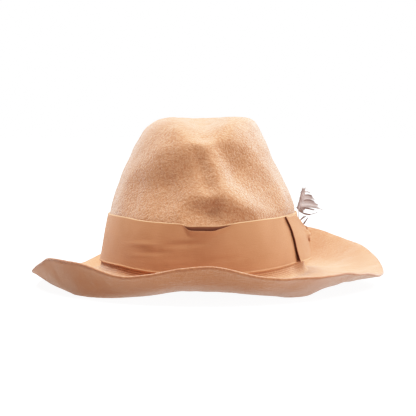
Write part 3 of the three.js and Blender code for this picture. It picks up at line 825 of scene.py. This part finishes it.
def ribbon_band():
    finer = [np.linspace(*span) for span in FINER_TURNS]
    turn = np.unique(np.concatenate([turns(BAND_COLUMNS * detail), *finer]))
    bottom = band_level(turn)
    dip = column(EDGE_SECTIONS, "turn", "dip", turn, FULL_TURN)
    top = bottom + RIBBON_WIDTH - dip
    flap_top = top - np.maximum(POCKET_DROP * pocket(turn, "drop") - np.maximum(dip, 0.0), 0.0)
    opened = POCKET_OPENING * pocket(turn, "open")
    slit = flap_top - SLIT_LIP - POCKET_DEPTH * pocket(turn, "open")
    outer = BAND_GAP + 2 * RIBBON_LAYER
    rows, across, tones = [], [], []

    # A tone below 1 paints the pocket's shadow, more as the pocket opens
    def add(height, off, tone=1.0):
        rows.append(band_point(turn, height, off))
        across.append((height - bottom) * RIBBON_WIDTH / (top - bottom))
        tones.append(1 - (1 - tone) * smoothstep(opened, *POCKET_SHADE))

    for share in np.linspace(0, 1, BACK_STEPS):
        add(bottom + (top - bottom - EDGE_ROUND) * share, BAND_GAP)
    for edge in INNER_EDGE:
        add(top - edge["down"], BAND_GAP + edge["off"])
    for wall in POCKET_WALL:
        add(top - SLIT_LIP + (slit - top) * wall["share"], BAND_GAP + WALL_OFF, wall["tone"])
    add(slit, BAND_GAP + SLIT_OFF, 0.0)
    for share in FLAP_SHARES:
        add(slit + (flap_top - FLAP_LIP - slit) * share, BAND_GAP + FLAP_OFF + opened * share, 0.0)
    for edge in FLAP_EDGE:
        add(flap_top - edge["down"], outer + edge["off"] + opened)
    for share in FACE_SHARES:
        height = bottom + (flap_top - bottom - FACE_LIP) * share
        rest = np.clip((height - slit) / np.maximum(flap_top - slit, LEAST_FLAP), 0, 1)
        fade = math.sin(math.pi * share)
        wrinkle = band_wrinkle(turn, height - bottom) * fade
        cord = CORD_HEIGHT * math.sin(math.pi * min(share / CORD_SHARE, 1.0))
        add(height, outer + opened * rest + wrinkle + cord - FACE_HOLLOW * fade)
    for edge in LOWER_EDGE:
        add(bottom - edge["down"], outer + edge["off"])
    grid = np.stack(rows)
    around = turn / FULL_TURN * math.pi * (CROWN_HALF_WIDTH + CROWN_HALF_LENGTH)
    uvs = np.stack([np.broadcast_to(around, grid.shape[:2]), np.stack(across)], axis=-1)
    faces = grid_faces(len(rows), len(turn), True, True)[:, ::-1]
    band = make_mesh("band_of_ribbon", grid, faces, uvs, tone=np.stack(tones))
    stand_for(band, "ribbon_band", RIBBON)
    return band


def band_place(along, up, off):
    """Place on the band's outer face: along it from the wearer's left, up from its lower edge and off it."""
    turn = np.asarray(along / np.radians((CROWN_HALF_WIDTH + CROWN_HALF_LENGTH) / 2), dtype=float)
    height = band_level(turn) + up
    return band_point(turn, height, BAND_GAP + 2 * RIBBON_LAYER + BOW_GAP + off)


# Bow and knot
BOW_CENTRE = RIBBON_WIDTH - BOW_WIDTH / 2 - BOW_BELOW_TOP
BOW_STEPS = 24
BOW_LEVELS = 21
FOLD_STEPS = 6
GATHER_HEIGHT = 0.35
GATHER_WAVES = 4.5
HIDDEN_PAINTED_SHADE = 0.05
KNOT_ROOM = KNOT_LAYER + 2 * BOW_GAP
KNOT_COLUMNS = 9
KNOT_STEPS = 6
KNOT_RUN = 1.6
KNOT_CREASE = 0.12
KNOT_CREASES = 2.5

# Spots on the bow's front: middle and half size along its length and across its width, as shares, and the
# height in millimetres or, for the tucked spot, the change of tone that paints the shadow of the fold there
BOW_BUMP = {"reach": -0.20, "long": 0.11, "level": 0.10, "tall": 0.45, "high": 3.2}
BOW_NOTCH = {"reach": -0.22, "long": 0.07, "level": -0.55, "tall": 0.30, "high": -1.6}
BOW_TUCK_SHADOW = {"reach": 0.15, "long": 0.08, "level": 0.8, "tall": 0.4, "high": -0.8}


def bow_spot(spot, reaches, levels):
    along = (reaches[:, None] - spot["reach"]) / spot["long"]
    across = (levels[None] - spot["level"]) / spot["tall"]
    return spot["high"] * np.exp(-along**2 - across**2)


def bow_spread(reach, wing_start=WING_START):
    """How far the bow has widened from its waist: 0 at the knot, 1 along the wing."""
    return smoothstep(np.abs(reach), WAIST_END, wing_start)


def bow_runs(take, reach):
    spread = bow_spread(reach)
    lift = BOW_PUFF * take["lift"] * reach**2
    back = RIBBON_LAYER / 2 + KNOT_ROOM * (1 - spread) + lift
    puff = BOW_PUFF * np.where(reach < 0, take["front"], take["back"])
    puffed = puff * (1 - reach**2) * spread + BOW_PUFF * WAIST_PUFF * (1 - spread)
    return back, back + 2 * BOW_FOLD + puffed


def bow_outline(levels):
    """Once round the folded bow at each level: places along it and off the band, shares of its half length,
    and which of them are on its front."""
    take = row_at(BOW_SECTIONS, "level", levels)
    length = BOW_HALF_LENGTH * take["length"]
    steps = BOW_STEPS * detail
    along, off, reaches = [], [], []
    for side in (1, -1):
        for i in range(steps + 1):
            reach = side * (2 * i / steps - 1)
            back, front = bow_runs(take, np.full_like(levels, reach))
            along.append(length * reach)
            off.append(front if side > 0 else back)
            reaches.append(reach)
        back, front = bow_runs(take, np.full_like(levels, float(side)))
        radius = (front - back) / 2
        for i in range(1, FOLD_STEPS):
            swing = side * (math.pi / 2 - math.pi * i / FOLD_STEPS)
            along.append(side * (length + radius * math.cos(swing)))
            off.append(back + radius + side * radius * math.sin(side * swing))
            reaches.append(float(side))
    on_front = (np.arange(len(reaches)) <= steps)[:, None]
    return np.stack(along), np.stack(off), np.array(reaches), on_front


def bow_ribbon():
    levels = np.linspace(-1, 1, BOW_LEVELS)
    along, off, reaches, on_front = bow_outline(levels)
    way_along = np.roll(along, -1, axis=0) - np.roll(along, 1, axis=0)
    way_off = np.roll(off, -1, axis=0) - np.roll(off, 1, axis=0)
    size = np.hypot(way_along, way_off)
    upper_spread = bow_spread(reaches)[:, None]
    lower_spread = bow_spread(reaches, LOWER_WING_START)[:, None]
    spread = np.where(levels[None] > 0, upper_spread, lower_spread)
    up = BOW_CENTRE + (BOW_WAIST + (BOW_WIDTH - BOW_WAIST) * spread) / 2 * levels[None]
    gather = GATHER_HEIGHT * (1 - upper_spread) * np.cos(levels * GATHER_WAVES * math.pi)[None]
    off = off + on_front * (bow_spot(BOW_BUMP, reaches, levels) + bow_spot(BOW_NOTCH, reaches, levels))

    def face(grow):
        return band_place(along - way_off / size * grow, up, off + gather + way_along / size * grow)

    grid = np.concatenate([face(-RIBBON_LAYER / 2), face(RIBBON_LAYER / 2)[:, ::-1]], axis=1)
    steps_along, steps_off = (np.diff(places[:, BOW_LEVELS // 2]) for places in (along, off))
    run = np.concatenate([[0], np.cumsum(np.hypot(steps_along, steps_off))])
    both_faces = np.concatenate([levels, levels[::-1]])
    across = (both_faces + 1) / 2 * RIBBON_WIDTH
    uvs = np.stack(np.broadcast_arrays(run[:, None], across[None]), axis=-1)
    outside = np.arange(len(both_faces)) >= BOW_LEVELS
    # Painted shade: the bow's back run, fold ends and inner face take the shadow colour, and the tucked spot
    # is darkened
    tones = np.where(outside[None] & on_front, 1 + bow_spot(BOW_TUCK_SHADOW, reaches, both_faces), HIDDEN_PAINTED_SHADE)
    bow = make_mesh("flat_bow", grid, grid_faces(*grid.shape[:2], True, True), uvs, tone=tones)
    stand_for(bow, "bow_ribbon", RIBBON)
    return bow


def bow_knot():
    half = KNOT_WIDTH / 2
    tall = BOW_WAIST / 2 + 2 * BOW_GAP + KNOT_LAYER
    front = bow_runs(row_at(BOW_SECTIONS, "level", 0.0), np.array(0.0))[1]
    deep = (front + RIBBON_LAYER / 2 + BOW_GAP + KNOT_LAYER) / 2
    alongs = np.linspace(-half, half, KNOT_COLUMNS)
    creases = KNOT_CREASE * np.cos(alongs / half * KNOT_CREASES * math.pi)

    def row(radii, swing, up_side, off_side):
        up = BOW_CENTRE + up_side * (tall - KNOT_CORNER) + radii * math.cos(swing)
        return band_place(alongs, up, deep + off_side * (deep - KNOT_CORNER) + radii * math.sin(swing))

    rows = []
    for corner, sides in enumerate(((1, 1), (-1, 1), (-1, -1), (1, -1))):
        for step in range(KNOT_STEPS + 1):
            swing = math.radians(90 * corner + 90 / KNOT_STEPS * step)
            inside = row(KNOT_CORNER - KNOT_LAYER + creases, swing, *sides)
            rows.append(np.concatenate([inside, row(KNOT_CORNER + creases, swing, *sides)[::-1]]))
    grid = np.stack(rows)
    run = np.arange(len(rows)) * KNOT_RUN
    across = np.concatenate([alongs, alongs[::-1]]) + RIBBON_WIDTH / 2
    uvs = np.stack(np.broadcast_arrays(run[:, None], across[None]), axis=-1)
    whole = np.ones(grid.shape[:2])
    knot = make_mesh("bow_middle", grid, grid_faces(*grid.shape[:2], True, True), uvs, tone=whole)
    stand_for(knot, "bow_knot", RIBBON)
    return knot


# Feather
def quill_line():
    """Points of the quill from its tucked end to its tip, and the first point that is free."""
    spread = float(bow_spread(np.array(QUILL_PLACE / BOW_HALF_LENGTH)))
    bow_top = BOW_CENTRE + (BOW_WAIST + (BOW_WIDTH - BOW_WAIST) * spread) / 2

    def beside(up, lift=0.0):
        return band_place(np.array(QUILL_PLACE), np.array(up), np.array(QUILL_WIDTH / 2 + lift))

    seat = beside(RIBBON_WIDTH, BOW_GAP)
    rise = np.array([QUILL_LEAN, QUILL_SLANT, 1.0])
    rise /= np.linalg.norm(rise)
    leaning = seat + [QUILL_SHIFT, 0, 0]
    bend = seat + rise * QUILL_LENGTH * QUILL_BEND_PLACE + [QUILL_BEND, 0, 0]
    tip = seat + rise * QUILL_LENGTH
    knots = np.stack([beside(bow_top - QUILL_SEAT), beside(bow_top), leaning, bend, tip])
    padded = np.concatenate([[2 * knots[0] - knots[1]], knots, [2 * knots[-1] - knots[-2]]])
    points = []
    for i in range(len(knots) - 1):
        p0, p1, p2, p3 = padded[i:i + 4]
        for share in np.arange(QUILL_STEPS) / QUILL_STEPS:
            points.append(blended(p1, p2, (p2 - p0) / 2, (p3 - p1) / 2, share))
    points.append(knots[-1])
    return np.stack(points), 2 * QUILL_STEPS


def along_line(points, share):
    steps = np.concatenate([[0], np.cumsum(np.linalg.norm(np.diff(points, axis=0), axis=1))])
    place = share * steps[-1]
    return np.array([np.interp(place, steps, points[:, k]) for k in range(3)])


def tube(points, radii, sides=8):
    """Closed tube round a line of points, as points and faces."""
    ways = np.gradient(points, axis=0)
    ways /= np.linalg.norm(ways, axis=1, keepdims=True)
    first = np.cross(ways, [0, 1.0, 0])
    first /= np.linalg.norm(first, axis=1, keepdims=True)
    second = np.cross(ways, first)
    swing = np.arange(sides) * 2 * math.pi / sides
    ring = np.cos(swing)[None, :, None] * first[:, None] + np.sin(swing)[None, :, None] * second[:, None]
    grid = points[:, None] + ring * np.asarray(radii)[:, None, None]
    faces = grid_faces(len(points), sides, False, True).tolist()
    last = (len(points) - 1) * sides
    faces.append(list(range(sides))[::-1])
    faces.append([last + k for k in range(sides)])
    return grid.reshape(-1, 3), faces


# Clumps of barbs, whose roots lie between two shares of the free quill and whose tips lie between a low and
# a high place, in millimetres outwards and up from the quill's seat. Arch is in millimetres; tones run from
# the lowest barb to the highest one.
BARB_CLUMPS = named_rows(
    "from to low high arch tones width count",
    (0.93, 1.00, (10.2, 16.4), (9.2, 17.6), 0.3, (0.60, 0.50), 0.26, 3),
    (0.79, 0.86, (12.1, 13.7), (11.0, 14.9), 0.5, (0.75, 0.45), 0.30, 7),
    (0.50, 0.70, (15.2, 8.8), (12.4, 12.6), 0.5, (0.95, 0.30), 0.62, 20),
    (0.24, 0.47, (18.8, 3.8), (13.9, 8.4), 0.7, (1.00, 0.10), 0.70, 26),
    (0.10, 0.24, (22.0, 0.3), (17.0, 3.6), 1.1, (0.55, 1.10), 0.60, 18),
    (0.72, 1.00, (3.4, 13.6), (6.2, 18.4), 0.2, (0.40, 0.60), 0.80, 14),
    (0.02, 0.26, (5.4, -2.1), (7.8, 2.0), -0.3, (0.10, 0.50), 0.75, 14),
    (0.05, 0.11, (14.6, 0.2), (15.8, 1.0), 0.8, (0.05, 0.15), 0.50, 7),
    (0.03, 0.08, (18.2, -1.8), (19.0, -0.4), 1.6, (0.50, 0.55), 0.26, 4),
    (0.00, 0.80, (0.0, 3.2), (4.2, 19.2), 0.2, (0.25, 0.60), 1.00, 46),
    (0.00, 0.10, (4.6, -2.5), (5.6, -1.2), -0.4, (0.00, 0.25), 0.60, 9),
)

# Loose downy barbs at the foot of the vane: root along the whole quill, and tip and arch as above
DOWN = named_rows(
    "root tip arch width count",
    (0.50, (11.6, -3.7), -1.2, 0.75, 4),
    (0.50, (17.2, -1.6), -3.0, 0.50, 3),
    (0.24, (7.5, -4.2), 0.7, 0.85, 4),
    (0.12, (9.4, -5.8), -0.6, 1.40, 4),
    (0.52, (-0.6, 2.0), 0.4, 0.40, 4),
)

# Form of a single barb, and how much barbs of one clump differ
BARB_STEPS = 9
BARB_TAPER = 0.65
ARCH_EARLY = 0.8
DEPTH_SWING = 0.9
BARB_FADE = (0.1, -0.35)
TIP_BACK = 0.6
CLUMP_DEPTH = 0.5
CLUMP_SWING = 1.7
TIP_SCATTER = 0.22
TIP_FLATNESS = (1.0, 0.5, 1.0)
LENGTH_RANGE = (0.90, 1.0)
DEPTH_RANGE = (-0.15, 0.15)
ARCH_RANGE = (0.85, 1.15)
TONE_RANGE = (-0.22, 0.22)
DOWN_SCATTER = 0.35
DOWN_ARCH_RANGE = (-0.3, 0.3)
DOWN_DEPTH_RANGE = (-0.5, 0.5)
DOWN_TONE = 0.15
FEATHER_SEED = 11


def barb(root, tip, arch, width, depth):
    """Flat tapering barb from the quill to its tip, as two rows of points."""
    share = np.linspace(0, 1, BARB_STEPS)[:, None]
    line = root + (tip - root) * share
    line[:, 2] += arch * np.sin(math.pi * share[:, 0]**ARCH_EARLY)
    line[:, 1] += depth * np.sin(math.pi * share[:, 0] * DEPTH_SWING)
    way = np.gradient(line, axis=0)
    across = np.stack([-way[:, 2], 0 * way[:, 0], way[:, 0]], axis=1)
    across /= np.maximum(np.linalg.norm(across, axis=1, keepdims=True), TINY)
    taper = width * (1 - BARB_TAPER * share**3)
    return line - across * taper / 2, line + across * taper / 2


def feather():
    quill, seat_index = quill_line()
    free = quill[seat_index:]
    seat = free[0]
    rng = np.random.default_rng(FEATHER_SEED)
    root_radius = QUILL_WIDTH / 2 * QUILL_FULLNESS
    stem, faces = tube(quill, np.linspace(root_radius, QUILL_TIP_RADIUS, len(quill)))
    points, tones = [stem], [np.full(len(stem), QUILL_TONE)]

    def add_barb(root, tip, arch, width, depth, tone):
        start = sum(map(len, points))
        points.append(np.concatenate(barb(root, tip, arch, width, depth)))
        fade = np.linspace(*BARB_FADE, BARB_STEPS)
        tones.append(np.concatenate([tone + fade, tone + fade]))
        for i in range(start, start + BARB_STEPS - 1):
            faces.append([i, i + 1, BARB_STEPS + i + 1, BARB_STEPS + i])

    def place(outwards, up):
        return seat + [outwards - QUILL_SHIFT, TIP_BACK, up]

    for layer, clump in enumerate(BARB_CLUMPS):
        low, high = place(*clump["low"]), place(*clump["high"])
        for share in np.arange(clump["count"]) / (clump["count"] - 1):
            root = along_line(free, clump["from"] + (clump["to"] - clump["from"]) * share)
            tip = low + (high - low) * share + rng.normal(0, TIP_SCATTER, 3) * TIP_FLATNESS
            tip = root + (tip - root) * rng.uniform(*LENGTH_RANGE)
            depth = CLUMP_DEPTH * math.sin(layer * CLUMP_SWING) + rng.uniform(*DEPTH_RANGE)
            arch = clump["arch"] * rng.uniform(*ARCH_RANGE)
            tone = clump["tones"][0] + (clump["tones"][1] - clump["tones"][0]) * share
            add_barb(root, tip, arch, clump["width"], depth, tone + rng.uniform(*TONE_RANGE))
    for loose in DOWN:
        root = along_line(quill, loose["root"])
        for _ in range(loose["count"]):
            tip = place(*loose["tip"]) + rng.normal(0, DOWN_SCATTER, 3)
            arch = loose["arch"] + rng.uniform(*DOWN_ARCH_RANGE)
            add_barb(root, tip, arch, loose["width"], rng.uniform(*DOWN_DEPTH_RANGE), DOWN_TONE)
    plume = make_mesh("small_feather", np.concatenate(points), faces, tone=np.concatenate(tones))
    return stand_for(plume, "feather", FEATHER)


felt_body()
ribbon_band()
bow_ribbon()
bow_knot()
feather()


# Studio, in metres: a white floor, an even white surround, soft lamps from above and from both sides, and
# dark cards in front and on the left, which keep the surround's light off the hat
FLOOR_HALF = 12.0
FLOOR_DROP = 0.0005
FLOOR_GLOW = 1.15
FLOOR_PAINT = 0.2
CARD_PAINT = 0.03
SKY_STRENGTH = 1.35
WHITE_LEVEL = 1.35
SHOULDER = ((0.08, 0.105), (0.22, 0.315), (0.45, 0.62), (0.72, 0.87))
LAMP_COLOUR = (0.95, 0.98, 1.0)
LAMPS = named_rows(
    "name place aim_height size power",
    ("key", (1.1, 0.35, 1.3), 0.06, (0.9, 0.9), 33.0),
    ("top", (0.0, 0.25, 1.7), 0.05, (1.4, 1.0), 42.0),
    ("left_rim", (-1.2, 0.7, 0.9), 0.06, (0.8, 1.2), 10.0),
    ("left_top", (-0.6, -0.1, 1.8), 0.10, (0.6, 0.6), 54.0),
    ("front_right", (0.95, -1.0, 0.3), 0.04, (0.4, 0.4), 5.5),
)
CARDS = named_rows(
    "name low high",
    ("front_card", (-0.9, -1.35, 0.05), (0.9, -1.35, 0.75)),
    ("high_card", (-0.9, -1.35, 0.75), (-0.1, -1.35, 1.5)),
    ("left_card", (-0.8, -1.3, 0.02), (-0.8, 0.5, 1.50)),
)


def sheet_mesh(name, corners, material):
    mesh = bpy.data.meshes.new(name)
    mesh.from_pydata(corners, [], [(0, 1, 2, 3)])
    mesh.materials.append(material)
    return mesh


def floor():
    n = Nodes("white_floor")
    paint = n.add("ShaderNodeBsdfDiffuse", {"Color": (*grey(FLOOR_PAINT), 1.0)}).outputs[0]
    glow = n.add("ShaderNodeEmission", {"Color": (*grey(1.0), 1.0), "Strength": FLOOR_GLOW}).outputs[0]
    material = n.finish(n.add("ShaderNodeAddShader", {0: paint, 1: glow}).outputs[0])
    corners = [(FLOOR_HALF * x, FLOOR_HALF * y, 0) for x, y in ((-1, -1), (1, -1), (1, 1), (-1, 1))]
    thing = add_object("studio_floor", sheet_mesh("studio_floor", corners, material))
    thing.location.z = -FLOOR_DROP


def card(name, low, high):
    """Upright dark card between two of its corners, which the camera doesn't see."""
    n = Nodes(name)
    material = n.finish(n.add("ShaderNodeBsdfDiffuse", {"Color": (*grey(CARD_PAINT), 1.0)}).outputs[0])
    corners = [low, (high[0], high[1], low[2]), high, (low[0], low[1], high[2])]
    thing = add_object(name, sheet_mesh(name, corners, material))
    thing.visible_camera = False


def lamp(name, place, aim_height, size, power):
    light = bpy.data.lights.new(name, "AREA")
    light.shape = "RECTANGLE"
    light.size, light.size_y = size
    light.energy = power
    light.color = LAMP_COLOUR
    thing = add_object(name, light)
    thing.location = place
    thing.rotation_euler = (Vector((0, 0, aim_height)) - Vector(place)).to_track_quat("-Z", "Y").to_euler()


def surround():
    world = bpy.data.worlds.new("studio")
    world.use_nodes = True
    sky = world.node_tree.nodes["Background"]
    sky.inputs["Color"].default_value = (*grey(1.0), 1.0)
    sky.inputs["Strength"].default_value = SKY_STRENGTH
    bpy.context.scene.world = world


def developing():
    """Maps the surround's strength to white, with a soft shoulder below it."""
    look = bpy.context.scene.view_settings
    look.view_transform = "Standard"
    look.use_curve_mapping = True
    look.curve_mapping.white_level = grey(WHITE_LEVEL)
    shoulder = look.curve_mapping.curves[3]
    shoulder.points[1].location = (1.0, 1.0)
    for place in SHOULDER:
        shoulder.points.new(*place)
    look.curve_mapping.update()


floor()
for row in CARDS:
    card(**row)
for row in LAMPS:
    lamp(**row)
surround()
developing()

# Camera straight in front of the hat, a little above its middle
PHOTO_SIZE = 416
SENSOR_WIDTH = 36.0
FOCUS_PIXELS = 1472.0
CENTRE_X_PIXEL = 202.3
LEVEL_PIXEL = 124.0
DISTANCE = 1.2
EYE_HEIGHT = 0.130
half_frame = PHOTO_SIZE / 2
camera = bpy.data.cameras.new("camera")
camera.sensor_width = SENSOR_WIDTH
camera.lens = FOCUS_PIXELS / PHOTO_SIZE * SENSOR_WIDTH
viewer = add_object("camera", camera)
viewer.location = (AXIS_X * MM, AXIS_Y * MM - DISTANCE, EYE_HEIGHT)
aim = (
    AXIS_X * MM + (half_frame - CENTRE_X_PIXEL) / FOCUS_PIXELS * DISTANCE,
    AXIS_Y * MM,
    EYE_HEIGHT - (half_frame - LEVEL_PIXEL) / FOCUS_PIXELS * DISTANCE,
)
viewer.rotation_euler = (Vector(aim) - viewer.location).to_track_quat("-Z", "Y").to_euler()
bpy.context.scene.camera = viewer
